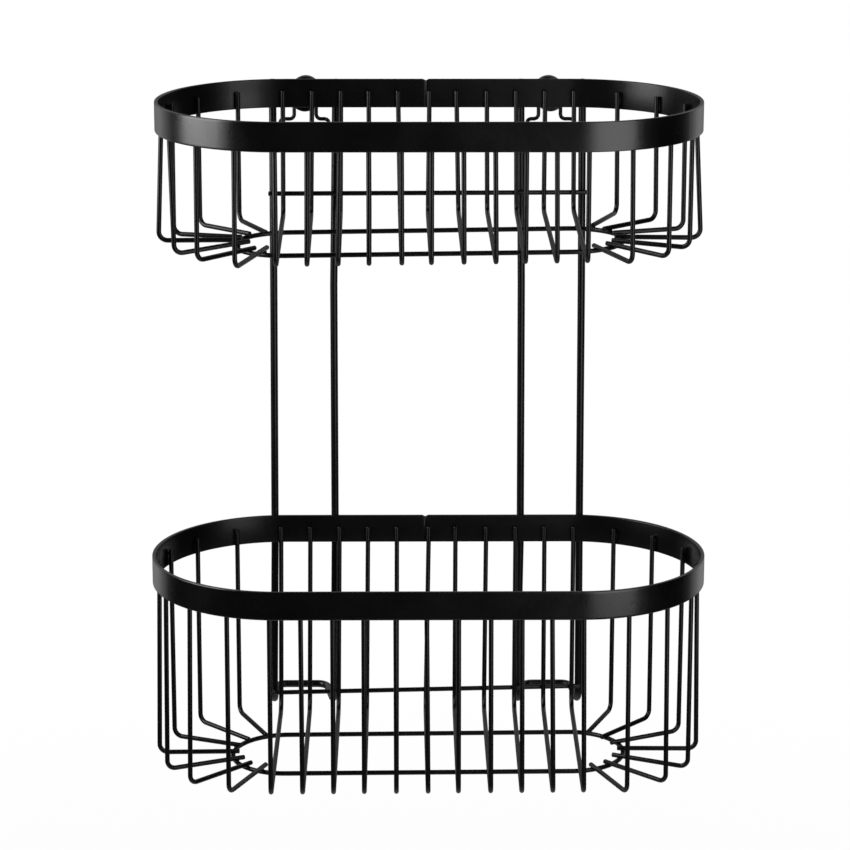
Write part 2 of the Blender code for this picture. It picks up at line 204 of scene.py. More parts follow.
# How far each rod stands to the right, by the hairpin's side and the rod's side of it: at the
# top, at the slight bend below the upper basket, at the lower rim, at the foot and at the wall.
# Then that bend's height, in metres.
ROD_SHIFTS = {
    (-1, -1): (0.8, 0.3, -0.5, -2.0, -1.7),
    (-1, 1): (2.0, 0.2, 0.15, -1.0, -5.6),
    (1, -1): (-1.3, 0.0, 0.7, -0.5, 4.1),
    (1, 1): (-0.95, 0.0, 0.75, 1.4, -1.9),
}
ROD_BEND_HEIGHT = -0.1

# Fineness: sides and steps
TUBE_SIDES = 18
ROD_SIDES = 28
HANGER_SIDES = 16
BEND_STEPS = 12
ROD_BEND_STEPS = 16
HANGER_BEND_STEPS = 8
HOOK_STEPS = 24
RING_TURN_STEPS = 48
TURN_STEPS = 96
SCREW_TURN_STEPS = 48
SCREW_DOME_STEPS = 8
BOSS_EDGE_STEPS = 5
SMALL_EDGE_STEPS = 3
NUGGET_RINGS = 8
NUGGET_SIDES = 12
LONG_NUGGET_RINGS = 10
FILLET_SIDES = 14
# Rounding of cut ends, and where its rings stand, as shares of it
TIP_ROUNDING = 0.0005
HANGER_TIP_ROUNDING = 0.0006
ROD_TIP_ROUNDING = 0.0007
TIP_RINGS = (0.0, 0.12, 0.4, 1.0)
# The bar's section, and the places round it where sections stand
BAR_EDGE = 0.00055
BAR_EDGE_STEPS = 4
BAR_LINES = 19
END_STEP_DEGREES = 2.5
STRAIGHT_STEP = 0.008
SEAM_LINES = (0.0, 0.0002, 0.00045, 0.0008, 0.0016, 0.0017)
DENT_LINES = (0.0, 0.0003, 0.00055, 0.0009)
CLOSEST_LINES = 0.00008
# Edges sharper than these, in degrees, stay crisp
CREASE = 40
TUBE_CREASE = 60
TURNED_CREASE = 35
NUGGET_CREASE = 80
BAR_CREASE = 50

# Powder coats: shades of dark and light patches, roughness, strength of the peel, specular level
COAT_LOOKS = {
    "band_coat": (0.0011, 0.0018, 0.26, 0.1, 1.0),
    "wire_coat": (0.0012, 0.002, 0.32, 0.12, 0.5),
    "rod_coat": (0.0012, 0.002, 0.32, 0.12, 0.55),
    "boss_coat": (0.0016, 0.0024, 0.3, 0.1, 0.8),
}
BAND_INSIDE_LOOK = (0.0011, 0.0018, 0.3, 0.12, 0.62)
PEEL_HEIGHT = 0.0001
GRAIN_HEIGHT = 0.00003
GRAIN_STRENGTH = 0.6
PATCH_GLOSS = 0.025
GRAIN_GLOSS = 0.03
STEEL_COLOUR = (0.52, 0.51, 0.49)
STEEL_ROUGHNESS = (0.25, 0.42)
SCUFF_STRENGTH = 0.2
# Scale and detail of the noise textures, and where most of their values lie
PATCHES = (45, 3)
PEEL = (900, 2)
GRAIN = (5200, 3)
SCUFFS = (2500, 4)
NOISE_LOW = 0.3
NOISE_HIGH = 0.7

# Camera
CAMERA_PLACE = (-0.01946, -1.74777, 0.29401)
CAMERA_YAW = 0.01064
CAMERA_PITCH = 0.26761
CAMERA_ROLL = 0.00133
PHOTO_SIDE = 850
FOCAL_PIXELS = 3312.6
SENSOR = 36.0

# Floor
FLOOR_DROP = 0.5
FLOOR_RADIUS = 1.5
FLOOR_FADE_START = 0.1
FLOOR_SIDES = 96
FLOOR_COLOUR = (0.82, 0.82, 0.82)
FLOOR_ROUGHNESS = 0.9
FLOOR_GLOW = 0.95

# Studio. The backdrop's edges are given by how far back a direction points.
DIM_STUDIO = 0.005
BACKDROP_LEVEL = 0.62
BACKDROP_EDGE = (0.42, 0.68)
BACKDROP_MIDDLE = 0.3
BACKDROP_MIDDLE_EDGE = (0.80, 0.97)
FILL_LIGHT = 0.35
# Soft lights: degrees to the viewer's right, distance, width, low and high edge, radiance
SOFTBOXES = {
    "left_softbox": (-74, 0.8, 0.57, -0.155, 0.8, 3.8),
    "right_softbox": (35.5, 0.58, 0.37, -0.39, 0.6, 1.48),
}

SEED = 11
dice = random.Random(SEED)


def rounded_path(corners, radii, steps=BEND_STEPS):
    """Points along straight runs through the corners, with each inner corner bent to its radius."""
    if isinstance(radii, float):
        radii = [radii] * (len(corners) - 2)
    points = [Vector(corners[0])]
    for before, corner, after, radius in zip(corners, corners[1:], corners[2:], radii):
        corner = Vector(corner)
        back = (Vector(before) - corner).normalized()
        ahead = (Vector(after) - corner).normalized()
        half = back.angle(ahead) / 2
        centre = corner + (back + ahead).normalized() * (radius / math.sin(half))
        start = corner + back * (radius / math.tan(half))
        normal = back.cross(ahead).normalized()
        turn = -(math.pi - 2 * half)
        for step in range(steps + 1):
            spoke = Matrix.Rotation(turn * step / steps, 3, normal) @ (start - centre)
            points.append(centre + spoke)
    points.append(Vector(corners[-1]))
    return points


def mesh_object(name, verts, faces, crease=CREASE):
    """A smooth object whose edges stay crisp where they turn by more than crease degrees."""
    mesh = bpy.data.meshes.new(name)
    mesh.from_pydata([tuple(vert) for vert in verts], [], faces)
    mesh.validate()
    mesh.update()
    mesh.shade_smooth()
    mesh.set_sharp_from_angle(angle=math.radians(crease))
    obj = bpy.data.objects.new(name, mesh)
    bpy.context.scene.collection.objects.link(obj)
    return obj


def finish_piece(obj, body, slot, *nodes):
    """Give a piece its coat and its body, and hide the solids that it replaces."""
    obj.data.materials.clear()
    obj.data.materials.append(COATS[slot])
    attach(obj, body)
    if nodes:
        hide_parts(*nodes)
    return obj


def ring_frames(points, closed):
    """For each point of a path, two directions square to it that don't twist along the way."""
    count = len(points)
    tangents = []
    for index in range(count):
        before = points[index - 1] if closed or index else points[0]
        after = points[(index + 1) % count] if closed or index < count - 1 else points[-1]
        tangents.append((after - before).normalized())
    side = tangents[0].orthogonal().normalized()
    frames = []
    for tangent in tangents:
        side = (side - tangent * side.dot(tangent)).normalized()
        frames.append((side, tangent.cross(side)))
    return frames


def ring_faces(ring, after, count, shift=0):
    """The faces between two rings of count points, the second one turned on by shift points."""
    faces = []
    for index in range(count):
        following = (index + 1) % count
        faces.append((
            ring * count + index,
            ring * count + following,
            after * count + (following + shift) % count,
            after * count + (index + shift) % count,
        ))
    return faces


def rounded_tip(tip, following, radius, rounding):
    """Places and radii of the rings that round off a cut end, from the tip inward."""
    inward = (following - tip).normalized()
    rings = []
    for share in TIP_RINGS:
        across = radius - rounding + rounding * math.sqrt(1 - (1 - share) ** 2)
        rings.append((tip + inward * rounding * share, across))
    return rings


def tube(name, points, radius, rounding=TIP_ROUNDING, closed=False, sides=TUBE_SIDES):
    """A round wire along a path, with its cut ends rounded off."""
    path = [Vector(point) for point in points]
    rings = [(place, radius) for place in path]
    if not closed:
        start = rounded_tip(path[0], path[1], radius, rounding)
        end = rounded_tip(path[-1], path[-2], radius, rounding)
        rings = start + rings[1:-1] + end[::-1]
    frames = ring_frames([place for place, _ in rings], closed)
    verts = []
    for (place, across), (side, up) in zip(rings, frames):
        for step in range(sides):
            angle = 2 * math.pi * step / sides
            verts.append(place + (side * math.cos(angle) + up * math.sin(angle)) * across)
    count = len(rings)
    faces = []
    for ring in range(count if closed else count - 1):
        shift = 0
        if ring == count - 1:
            last = verts[ring * sides]
            shift = min(range(sides), key=lambda step: (verts[step] - last).length)
        faces += ring_faces(ring, (ring + 1) % count, sides, shift)
    if not closed:
        faces.append(tuple(reversed(range(sides))))
        faces.append(tuple((count - 1) * sides + step for step in range(sides)))
    return mesh_object(name, verts, faces, TUBE_CREASE)


def turned(name, profile, centre, steps=TURN_STEPS):
    """A closed profile of radii and distances from the wall, turned about a line square to it."""
    verts = []
    faces = []
    for step in range(steps):
        angle = 2 * math.pi * step / steps
        for radius, distance in profile:
            x = centre.x + radius * math.cos(angle)
            verts.append(Vector((x, centre.y - distance, centre.z + radius * math.sin(angle))))
        faces += ring_faces(step, (step + 1) % steps, len(profile))
    return mesh_object(name, verts, faces, TURNED_CREASE)


def nuggets(name, places, rings=NUGGET_RINGS, sides=NUGGET_SIDES):
    """Small rounded weld nuggets, by their centres and three half axes, with poles on the last."""
    verts = []
    faces = []
    for centre, across, along, out in places:
        if across.cross(along).dot(out) < 0:
            along = -along
        base = len(verts)
        verts.append(centre + out)
        for ring in range(1, rings):
            polar = math.pi * ring / rings
            for step in range(sides):
                angle = 2 * math.pi * step / sides
                flat = across * math.cos(angle) + along * math.sin(angle)
                verts.append(centre + out * math.cos(polar) + flat * math.sin(polar))
        verts.append(centre - out)
        last = len(verts) - 1
        bottom = last - sides
        for step in range(sides):
            following = (step + 1) % sides
            faces.append((base, base + 1 + step, base + 1 + following))
            faces.append((last, bottom + following, bottom + step))
            for start in range(base + 1, bottom, sides):
                after = start + sides
                faces.append((start + step, after + step, after + following, start + following))
    return mesh_object(name, verts, faces, NUGGET_CREASE)


class Basket:
    """One tier's sizes and places, taken from its solids."""

    def __init__(self, name):
        low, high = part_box(f"{name}_rim")
        ring_low, ring_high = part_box(f"{name}_floor_ring")
        wire_low, wire_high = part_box(f"{name}_u_wire_01")
        cross_low, cross_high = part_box(f"{name}_cross_wire")
        self.name = name
        self.depth = high.y - low.y
        self.middle = (low.y + high.y) / 2
        self.rim_top = high.z
        self.rim_height = high.z - low.z
        self.end_centre = (high.x - low.x - self.depth) / 2
        self.bar_radius = (self.depth - BAND_THICKNESS) / 2
        self.bar_length = 4 * self.end_centre + 2 * math.pi * self.bar_radius
        self.leg_radius = self.depth / 2 - BAND_THICKNESS - WELD_GAP - BASKET_WIRE / 2
        self.wire_top = wire_high.z
        self.floor = wire_low.z + BASKET_WIRE / 2
        self.ring_width = ring_high.x - ring_low.x - BASKET_WIRE
        self.ring_depth = ring_high.y - ring_low.y - BASKET_WIRE
        self.ring_middle = (ring_low.y + ring_high.y) / 2
        self.ring_level = (ring_low.z + ring_high.z) / 2
        self.cross_ends = (cross_low.x, cross_high.x)
        self.cross_y = (cross_low.y + cross_high.y) / 2
        self.cross_level = (cross_low.z + cross_high.z) / 2
        pitch = 2 * (self.end_centre + WIRE_SPREAD) / (WIRES_ACROSS - 1)
        self.wire_places = [
            (number - (WIRES_ACROSS - 1) / 2) * pitch for number in range(WIRES_ACROSS)
        ]
        self.legs = []
        for x, shifts in zip(self.wire_places, LEG_SHIFTS[name]):
            self.legs.append([x + shift / MILLIMETRES for shift in shifts])

    def leg_reach(self, x):
        """How far in front of and behind the middle the legs at x stand, inside the bar."""
        beyond = max(0.0, abs(x) - self.end_centre)
        return math.sqrt(self.leg_radius**2 - beyond**2)

    def cross_height(self, x):
        """The cross wire's height at x, with its slant."""
        left, right = [rise / MILLIMETRES for rise in CROSS_WIRE_SLANT[self.name]]
        share = (x - self.cross_ends[0]) / (self.cross_ends[1] - self.cross_ends[0])
        return self.cross_level + left + (right - left) * share

    def end_angles(self, side):
        """Where the end wires stand on one end's arc, from the rear."""
        spread = math.pi / (WIRES_ROUND_END + 1)
        angles = []
        for number, shifts in enumerate(END_WIRE_SHIFTS[self.name, side]):
            forward = shifts[0] / MILLIMETRES / self.leg_radius
            angles.append(math.pi / 2 - spread * (number + 1) - forward)
        return angles

    def tilt(self, x, y):
        """How far the floor lies above a level one at a place."""
        across = x / self.wire_places[-1]
        along = (y - self.middle) / self.leg_radius
        rear_left, rear_right, front_left, front_right = FLOOR_TILT[self.name]
        rear = rear_left * (1 - across) + rear_right * (1 + across)
        front = front_left * (1 - across) + front_right * (1 + across)
        return (rear * (1 + along) + front * (1 - along)) / (4 * MILLIMETRES)

    def ring_crossing(self, side, angle):
        """Where a line from an end's centre, at the angle from the side, crosses the floor ring."""
        outward = Vector((math.cos(angle), math.sin(angle)))
        shift = Vector((
            (self.ring_width - self.ring_depth) / 2 - self.end_centre,
            self.ring_middle - self.middle,
        ))
        towards = outward.dot(shift)
        from_ring = shift.length_squared - (self.ring_depth / 2) ** 2
        radius = towards + math.sqrt(towards**2 - from_ring)
        x = side * (self.end_centre + radius * outward.x)
        y = self.middle + radius * outward.y
        return Vector((x, y, self.ring_level + self.tilt(x, y)))


def along_rim(basket, travel):
    """A place on the bar's middle line, from the rear centre to the left, and its outward side."""
    radius = basket.bar_radius
    half = basket.end_centre
    turn = math.pi * radius
    travel = travel % basket.bar_length
    if travel < half:
        return Vector((-travel, basket.middle + radius, 0)), Vector((0, 1, 0))
    travel -= half
    if travel < turn:
        angle = math.pi / 2 + travel / radius
        out = Vector((math.cos(angle), math.sin(angle), 0))
        return Vector((-half, basket.middle, 0)) + out * radius, out
    travel -= turn
    if travel < 2 * half:
        return Vector((travel - half, basket.middle - radius, 0)), Vector((0, -1, 0))
    travel -= 2 * half
    if travel < turn:
        angle = -math.pi / 2 + travel / radius
        out = Vector((math.cos(angle), math.sin(angle), 0))
        return Vector((half, basket.middle, 0)) + out * radius, out
    travel -= turn
    return Vector((half - travel, basket.middle + radius, 0)), Vector((0, 1, 0))


def along_from_middle(basket, x):
    """How far along the bar a leg at x stands from the bar's middle."""
    bend = math.asin(min(1.0, max(0.0, abs(x) - basket.end_centre) / basket.leg_radius))
    return math.copysign(min(abs(x), basket.end_centre) + bend * basket.bar_radius, x)


def weld_travels(basket):
    """How far round the bar each wire is welded to it."""
    radius = basket.bar_radius
    half = basket.end_centre
    turn = math.pi * radius
    travels = []
    for front_top, _, rear_top, _ in basket.legs:
        travels.append(-along_from_middle(basket, rear_top) % basket.bar_length)
        travels.append(half + turn + half + along_from_middle(basket, front_top))
    for angle in basket.end_angles(-1):
        travels.append(half + (math.pi / 2 - angle) * radius)
    for angle in basket.end_angles(1):
        travels.append(3 * half + turn + (math.pi / 2 + angle) * radius)
    return travels


def weld_dents(basket):
    """The faint marks outside the bar: how far round it, how far down and how deep they are."""
    dents = []
    for travel in weld_travels(basket):
        down = dice.uniform(*DENT_HEIGHTS) * basket.rim_height
        depth = dice.choice(DENT_DEPTHS)
        if depth:
            dents.append((travel, down, depth))
    return dents


def bar_section(height):
    """The bar's rounded section as (out, down) pairs, clockwise from the outer face's top."""
    half = BAND_THICKNESS / 2
    points = []
    for line in range(BAR_LINES):
        share = line / (BAR_LINES - 1)
        points.append((half, BAR_EDGE + (height - 2 * BAR_EDGE) * share))
    corners = [
        (half - BAR_EDGE, height - BAR_EDGE),
        (-half + BAR_EDGE, height - BAR_EDGE),
        (-half + BAR_EDGE, BAR_EDGE),
        (half - BAR_EDGE, BAR_EDGE),
    ]
    for quarter, (out, down) in enumerate(corners):
        for step in range(BAR_EDGE_STEPS + 1):
            if quarter == 0 and step == 0 or quarter == 3 and step == BAR_EDGE_STEPS:
                continue
            angle = math.pi / 2 * (quarter + step / BAR_EDGE_STEPS)
            points.append((out + BAR_EDGE * math.cos(angle), down + BAR_EDGE * math.sin(angle)))
    return points


def bar_stations(basket, dents):
    """How far round the bar its sections stand: closer in the bends, at the seam and at dents."""
    length = basket.bar_length
    turn = math.pi * basket.bar_radius
    steps = int(length / STRAIGHT_STEP)
    travels = {length * step / steps for step in range(steps)}
    per_end = int(180 / END_STEP_DEGREES)
    for start in (basket.end_centre, 3 * basket.end_centre + turn):
        travels.update(start + turn * step / per_end for step in range(per_end + 1))
    places = [(SEAM_TRAVEL, SEAM_LINES)] + [(travel, DENT_LINES) for travel, _, _ in dents]
    for place, lines in places:
        for offset in lines:
            travels.update(((place - offset) % length, (place + offset) % length))
    stations = []
    for travel in sorted(travels):
        if not stations or travel - stations[-1] > CLOSEST_LINES:
            stations.append(travel)
    return stations


def rim_bar(basket):
    """The flat bar with rounded edges, a butt weld with a small notch, and faint dents outside."""
    length = basket.bar_length

    def apart(first, second):
        return abs((first - second + length / 2) % length - length / 2)

    dents = weld_dents(basket)
    stations = bar_stations(basket, dents)
    section = bar_section(basket.rim_height)
    verts = []
    for travel in stations:
        place, out = along_rim(basket, travel)
        from_seam = apart(travel, SEAM_TRAVEL)
        notch = SEAM_NOTCH_DEPTH * max(0.0, 1 - from_seam / (SEAM_NOTCH_WIDTH / 2))
        groove = SEAM_GROOVE_DEPTH * max(0.0, 1 - from_seam / (SEAM_GROOVE_WIDTH / 2))
        near = [dent for dent in dents if apart(travel, dent[0]) < DENT_REACH]
        for index, (across, down) in enumerate(section):
            sunk = 0.0
            if index < BAR_LINES:
                for dent, dent_down, depth in near:
                    distance = math.hypot(apart(travel, dent), down - dent_down)
                    sunk += depth * math.exp(-(distance / DENT_RADIUS) ** 2)
            drop = notch * max(0.0, 1 - down / (basket.rim_height / 2))
            pinch = math.copysign(groove, across)
            height = basket.rim_top - down - drop
            verts.append(place + out * (across - sunk - pinch) + Vector((0, 0, height)))
    count = len(section)
    faces = []
    for station in range(len(stations)):
        faces += ring_faces(station, (station + 1) % len(stations), count)
    bar = mesh_object(f"{basket.name}_rim_bar", verts, faces, BAR_CREASE)
    finish_piece(bar, "caddy", "band_coat", f"{basket.name}_rim")
    inside = [
        int(section[index][0] < 0 and section[(index + 1) % count][0] < 0) for index in range(count)
    ]
    bar.data.materials.append(BAND_INSIDE)
    bar.data.polygons.foreach_set("material_index", inside * len(stations))


def basket_wire(name, path, node, closed=False):
    wire = tube(name, path, BASKET_WIRE / 2, closed=closed)
    finish_piece(wire, "caddy", "wire_coat", node)


def wires_across(basket):
    """The U-shaped wires, from the rear rim along the floor to the front rim."""
    for number, (front_top, front_knee, rear_top, rear_knee) in enumerate(basket.legs):
        x = basket.wire_places[number]
        front = basket.middle - basket.leg_reach(max(front_top, front_knee, key=abs))
        rear = basket.middle + basket.leg_reach(max(rear_top, rear_knee, key=abs))
        corners = [
            (rear_top, rear, basket.wire_top),
            (rear_knee, rear - REAR_LEAN, basket.floor + basket.tilt(x, rear)),
            (front_knee, front, basket.floor + basket.tilt(x, front)),
            (front_top, front, basket.wire_top),
        ]
        node = f"{basket.name}_u_wire_{number + 1:02d}"
        path = rounded_path(corners, [REAR_BEND[basket.name], WIRE_BEND])
        basket_wire(f"{node}_round", path, node)


def end_wire_path(basket, side, number, angle):
    """Down the wall, round the knee and in over the floor ring, and where it crosses that ring."""
    shifts = [shift / MILLIMETRES for shift in END_WIRE_SHIFTS[basket.name, side][number]]
    _, lean, hang, sink, overrun, swing = shifts
    crossing = basket.ring_crossing(side, angle + swing / (basket.ring_depth / 2))
    crossing.z = basket.floor - sink
    corners = []
    top = (basket.leg_radius, basket.wire_top)
    knee = (basket.leg_radius + lean, basket.floor - hang)
    for reach, height in (top, knee):
        x = side * (basket.end_centre + reach * math.cos(angle))
        corners.append(Vector((x, basket.middle + reach * math.sin(angle), height)))
    corners.append(crossing + (crossing - corners[1]).normalized() * overrun)
    return rounded_path(corners, KNEE_BEND), crossing


def end_wires(basket):
    """The wires that fan out over both rounded ends."""
    for side, side_name in SIDE_NAMES.items():
        for number, angle in enumerate(basket.end_angles(side)):
            path, _ = end_wire_path(basket, side, number, angle)
            node = f"{basket.name}_end_wire_{side_name}_{number + 1}"
            basket_wire(f"{node}_round", path, node)


def floor_ring(basket):
    """The ring under the floor wires."""
    radius = basket.ring_depth / 2
    reach = basket.ring_width / 2 - radius
    points = []
    for side in (1, -1):
        for step in range(RING_TURN_STEPS + 1):
            angle = math.pi * step / RING_TURN_STEPS - math.pi / 2
            x = side * (reach + radius * math.cos(angle))
            y = basket.ring_middle + side * radius * math.sin(angle)
            points.append((x, y, basket.ring_level + basket.tilt(x, y)))
    node = f"{basket.name}_floor_ring"
    basket_wire(f"{node}_round", points, node, closed=True)


def cross_wire(basket):
    """The straight wire across the rear wall."""
    points = [(x, basket.cross_y, basket.cross_height(x)) for x in basket.cross_ends]
    node = f"{basket.name}_cross_wire"
    basket_wire(f"{node}_round", points, node)


def rim_weld_places(basket):
    """Nuggets between the wires' tops and the bar."""
    places = []
    overlap = basket.wire_top - (basket.rim_top - basket.rim_height)
    for travel in weld_travels(basket):
        place, out = along_rim(basket, travel)
        along = Vector((-out.y, out.x, 0))
        centre = place - out * (BAND_THICKNESS / 2 + RIM_WELD_SET_IN)
        centre.z = basket.wire_top - overlap * RIM_WELD_DOWN
        centre.z += dice.uniform(-RIM_WELD_PLAY, RIM_WELD_PLAY)
        wide = dice.uniform(*RIM_WELD_WIDTHS)
        places.append((centre, along * wide, UP * overlap * RIM_WELD_HEIGHT, out * RIM_WELD_DEPTH))
    return places


def floor_weld_places(basket):
    """Nuggets where the floor's wires cross the floor ring."""
    centres = []
    above_ring = (basket.floor - basket.ring_level) / 2
    for _, front_knee, _, rear_knee in basket.legs:
        for end in (-1, 1):
            share = 0.5 - end * basket.ring_depth / (4 * basket.leg_radius)
            x = rear_knee + (front_knee - rear_knee) * share
            beyond = max(0.0, abs(x) - (basket.ring_width - basket.ring_depth) / 2)
            y = basket.ring_middle + end * math.sqrt((basket.ring_depth / 2) ** 2 - beyond**2)
            centres.append(Vector((x, y, basket.ring_level + basket.tilt(x, y) + above_ring)))
    for side in SIDE_NAMES:
        for number, angle in enumerate(basket.end_angles(side)):
            _, crossing = end_wire_path(basket, side, number, angle)
            ring_height = basket.ring_level + basket.tilt(crossing.x, crossing.y)
            centres.append(Vector((crossing.x, crossing.y, (crossing.z + ring_height) / 2)))
    places = []
    for centre in centres:
        size = dice.uniform(*CROSSING_WELD_WIDTHS)
        places.append((centre, RIGHT * size, BACK * size, UP * CROSSING_WELD_DEPTH))
    return places


def cross_wire_weld_places(basket):
    """Nuggets that join the cross wire to the legs behind it and to the rods."""
    places = []
    rear = basket.middle + basket.leg_radius - REAR_LEAN
    down_leg = (basket.wire_top - basket.cross_level) / (basket.wire_top - basket.floor)
    size, depth = CROSS_WIRE_WELD
    for _, _, rear_top, rear_knee in basket.legs:
        x = rear_top + (rear_knee - rear_top) * down_leg
        if basket.cross_ends[0] < x < basket.cross_ends[1]:
            centre = Vector((x, (rear + basket.cross_y) / 2, basket.cross_height(x)))
            places.append((centre, RIGHT * size, UP * size, BACK * depth))
    rod_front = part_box("hairpin_left")[0].y
    size, depth = CROSS_WIRE_ROD_WELD
    for x in rod_places(basket.cross_level):
        centre = Vector((x, rod_front, basket.cross_height(x)))
        places.append((centre, RIGHT * size, UP * size, BACK * depth))
    return places


def basket_welds(basket):
    """All the nuggets that join one basket's wires."""
    places = rim_weld_places(basket) + floor_weld_places(basket) + cross_wire_weld_places(basket)
    welds = nuggets(f"{basket.name}_wire_welds", places)
    finish_piece(welds, "caddy", "wire_coat")


def rod_corners(side, end):
    """One rod's (x, height) pairs: its top, slight bends and foot. Also its x at the wall."""
    low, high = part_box(f"hairpin_{SIDE_NAMES[side]}")
    heights = (high.z, ROD_BEND_HEIGHT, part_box("lower_rim")[0].z, low.z + ROD / 2)
    straight = side * HAIRPIN_SPACING / 2 + end * HAIRPIN_WIDTH / 2
    places = [straight + shift / MILLIMETRES for shift in ROD_SHIFTS[side, end]]
    return list(zip(places, heights)), places[-1]


def rod_place(side, end, height):
    """Where one rod stands at a height."""
    corners, _ = rod_corners(side, end)
    for (upper_x, upper), (lower_x, lower) in zip(corners, corners[1:]):
        if lower <= height:
            break
    return upper_x + (lower_x - upper_x) * (upper - height) / (upper - lower)


def rod_places(height):
    """Where all four rods stand at a height."""
    return [rod_place(side, end, height) for side, end in ROD_SHIFTS]


def rod_welds(baskets):
    """Fillets on both sides of each rod, where it crosses the backs of the rims."""
    places = []
    for basket in baskets:
        back = basket.middle + basket.depth / 2 + FILLET_SET_BACK
        middle = basket.rim_top - basket.rim_height / 2
        for x in rod_places(middle):
            for side in (-1, 1):
                height = middle + dice.uniform(-FILLET_PLAY, FILLET_PLAY)
                centre = Vector((x + side * FILLET_OFFSET, back, height))
                tall = basket.rim_height * dice.uniform(*FILLET_HEIGHTS)
                places.append((centre, RIGHT * FILLET_WIDTH, UP * tall, BACK * FILLET_DEPTH))
    welds = nuggets("rod_welds", places, LONG_NUGGET_RINGS, FILLET_SIDES)
    finish_piece(welds, "caddy", "rod_coat")


def hairpin(side):
    """Both rods and their foot, bent from one piece, with the hanger and its welds."""
    node = f"hairpin_{SIDE_NAMES[side]}"
    low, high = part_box(node)
    front = low.y + ROD / 2
    back = high.y - ROD / 2
    at_wall = low.z + ROD / 2 + HAIRPIN_FOOT_LIFT
    left_line, left_wall = rod_corners(side, -1)
    right_line, right_wall = rod_corners(side, 1)
    corners = [(x, front, height) for x, height in left_line]
    corners += [(left_wall, back, at_wall), (right_wall, back, at_wall)]
    corners += [(x, front, height) for x, height in reversed(right_line)]
    path = rounded_path(corners, HAIRPIN_BEND, ROD_BEND_STEPS)
    rods = tube(f"{node}_rods", path, ROD / 2, ROD_TIP_ROUNDING, sides=ROD_SIDES)
    finish_piece(rods, "caddy", "rod_coat", node)
    hanger = hanger_wire(f"{node}_hanger", side, front)
    finish_piece(hanger, "caddy", "rod_coat", node)
    places = []
    height = -HANGER_DROP - HANGER_TAIL_DROP - HANGER_TAIL * TAIL_WELD_DOWN
    wide, deep, tall = TAIL_WELD
    for end in (-1, 1):
        x = rod_place(side, end, height) - end * (ROD / 2 + TAIL_WELD_SET_IN)
        for across in (-1, 1):
            centre = Vector((x, front + across * TAIL_WELD_OFFSET, height))
            places.append((centre, RIGHT * wide, BACK * deep, UP * tall))
    welds = nuggets(f"{node}_tail_welds", places, LONG_NUGGET_RINGS)
    finish_piece(welds, "caddy", "rod_coat")


def hanger_leg(side, end, rod_y):
    """Up one tail, in along the foot and up beside the boss neck."""
    beside = end * (ROD / 2 + HANGER_WIRE / 2 - WELD_BITE)
    tail_top = -HANGER_DROP - HANGER_TAIL_DROP
    tail_x = rod_place(side, end, tail_top) - beside
    tip_x = rod_place(side, end, tail_top - HANGER_TAIL) - beside
    neck_x = side * BOSS_OFFSET + end * HOOK_RADIUS
    corners = [
        (tip_x, rod_y, tail_top - HANGER_TAIL),
        (tail_x, rod_y, tail_top),
        (tail_x - end * HANGER_BEND / 2, -HANGER_WALL_GAP, -HANGER_DROP),
        (neck_x, -HANGER_WALL_GAP, -HANGER_DROP),
        (neck_x, -HANGER_WALL_GAP, 0),
    ]
    return rounded_path(corners, HANGER_BEND, HANGER_BEND_STEPS)


def hanger_wire(name, side, rod_y):
    """Both legs, joined over the boss neck."""
    arc = []
    for step in range(1, HOOK_STEPS):
        angle = math.pi * step / HOOK_STEPS
        x = side * BOSS_OFFSET + HOOK_RADIUS * math.cos(angle)
        arc.append(Vector((x, -HANGER_WALL_GAP, HOOK_RADIUS * math.sin(angle))))
    right = hanger_leg(side, 1, rod_y)
    left = hanger_leg(side, -1, rod_y)
    path = right + arc + left[::-1]
    return tube(name, path, HANGER_WIRE / 2, HANGER_TIP_ROUNDING, sides=HANGER_SIDES)


def edge_arc(centre_radius, centre_distance, start, end, edge, steps):
    """An arc in the turned profile's plane, between two angles in degrees."""
    points = []
    for step in range(steps + 1):
        angle = math.radians(start + (end - start) * step / steps)
        radius = centre_radius + edge * math.cos(angle)
        points.append((radius, centre_distance + edge * math.sin(angle)))
    return points


def large_edge(radius, distance, start, end):
    return edge_arc(radius, distance, start, end, BOSS_EDGE, BOSS_EDGE_STEPS)


def small_edge(radius, distance, start, end):
    return edge_arc(radius, distance, start, end, BOSS_SMALL_EDGE, SMALL_EDGE_STEPS)


def boss(side):
    """The turned spool at the wall, with its screw."""
    node = f"wall_boss_{SIDE_NAMES[side]}"
    centre = Vector((side * BOSS_OFFSET, 0, 0))
    cap = BOSS_CAP / 2
    flange = BOSS_FLANGE / 2
    neck = BOSS_NECK / 2 + BOSS_SMALL_EDGE
    small = BOSS_SMALL_EDGE
    under_cap = BOSS_LENGTH - BOSS_CAP_THICKNESS
    seat = BOSS_LENGTH - BOSS_RECESS_DEPTH
    profile = small_edge(BOSS_RECESS / 2 + small, BOSS_LENGTH - small, 180, 90)
    profile += large_edge(cap - BOSS_EDGE, BOSS_LENGTH - BOSS_EDGE, 90, 0)
    profile += small_edge(cap - small, under_cap + small, 0, -90)
    profile += small_edge(neck, under_cap - small, 90, 180)
    profile += small_edge(neck, BOSS_FLANGE_THICKNESS + small, 180, 270)
    profile += large_edge(flange - BOSS_EDGE, BOSS_FLANGE_THICKNESS - BOSS_EDGE, 90, 0)
    profile += small_edge(flange - small, small, 0, -90)
    profile += [(BOSS_BORE / 2, 0), (BOSS_BORE / 2, seat), (BOSS_RECESS / 2, seat)]
    spool = turned(f"{node}_spool", profile, centre)
    finish_piece(spool, "wall_side", "boss_coat", node)
    wall_screw(f"wall_screw_{SIDE_NAMES[side]}", centre)


